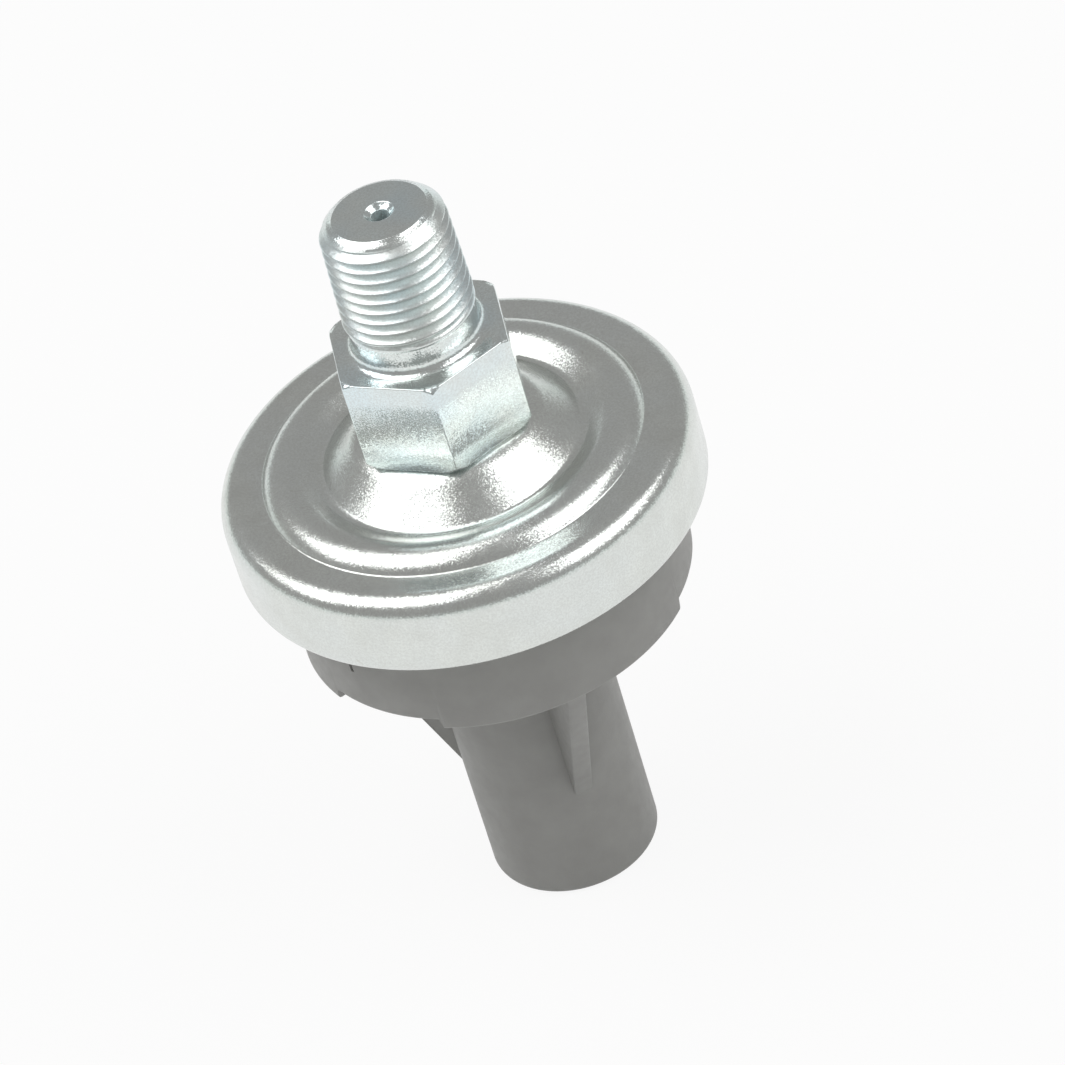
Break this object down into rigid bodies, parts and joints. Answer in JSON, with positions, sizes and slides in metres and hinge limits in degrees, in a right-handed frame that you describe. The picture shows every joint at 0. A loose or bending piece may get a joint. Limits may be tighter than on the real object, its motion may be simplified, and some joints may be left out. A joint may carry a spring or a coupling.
{
  "type": "oil pressure sender",
  "caption": "Crimped steel pressure cap with a hexagon and taper-threaded fitting on a moulded plastic housing with a round connector tower; a diaphragm inside drives a wiper over a resistor card.",
  "frame": {"origin": "centre of the open end of the connector tower, which is the bottom of the part", "axes": "+Z along the common axis of tower, cap and fitting, towards the threaded tip; -Y towards one corner of the hexagon, the front; +X to the right"},
  "size_m": [0.0374, 0.0374, 0.0643],
  "materials": {
    "grey_plastic": "satin moulded nylon, mid grey",
    "plated_cap": "bright zinc plate on pressed sheet, semi-gloss with fine grain",
    "plated_fitting": "bright zinc plate on turned steel",
    "plated_inner": "dull zinc plate",
    "spring_steel": "plain oiled steel",
    "brass": "satin brass",
    "bronze": "phosphor bronze",
    "rubber": "matt black rubber",
    "phenolic": "brown laminate",
    "resistance_wire": "dull alloy wire"
  },
  "bodies": {
    "casing": {"sender_housing": "grey_plastic", "pressure_cap": "plated_cap", "threaded_fitting": "plated_fitting", "diaphragm_gasket": "rubber", "diaphragm": "spring_steel", "mechanism_plate": "plated_inner", "guide_bush": "bronze", "return_spring": "spring_steel", "spring_seat": "spring_steel", "spring_bridge": "plated_inner", "calibration_screw": "brass", "lock_nut": "brass", "pivot_bracket": "plated_inner", "pivot_pin": "spring_steel", "pivot_clip": "spring_steel", "resistor_card": "phenolic", "resistance_winding": "resistance_wire", "card_holder": "phenolic", "bridge_rivet_front": "plated_inner", "bridge_rivet_back": "plated_inner", "bracket_rivet_front": "plated_inner", "bracket_rivet_back": "plated_inner", "holder_rivet_left": "plated_inner", "holder_rivet_right": "plated_inner", "contact_strip": "brass", "terminal_pin": "brass", "terminal_washer": "plated_inner", "terminal_nut": "brass"},
    "push_plunger": {"plunger": "spring_steel", "plunger_collar": "spring_steel"},
    "wiper_arm": {"wiper_lever": "brass", "wiper_contact": "bronze", "wiper_rivet": "brass"}
  },
  "joints": [
    {"name": "plunger_slide", "type": "slide", "parent": "casing", "child": "push_plunger", "axis": [0, 0, -1], "range_m": [0, 0.0009], "stiffness_N_per_m": 2000, "springref_m": -0.001, "deforming": ["return_spring"]},
    {"name": "wiper_hinge", "type": "hinge", "parent": "casing", "child": "wiper_arm", "pos_m": [0.0054, 0, 0.0361], "axis": [0, -1, 0], "range_deg": [0, 23]}
  ],
  "couplings": [
    {"joint": "wiper_hinge", "follows": "plunger_slide", "rad_per_m": 444.37}
  ]
}
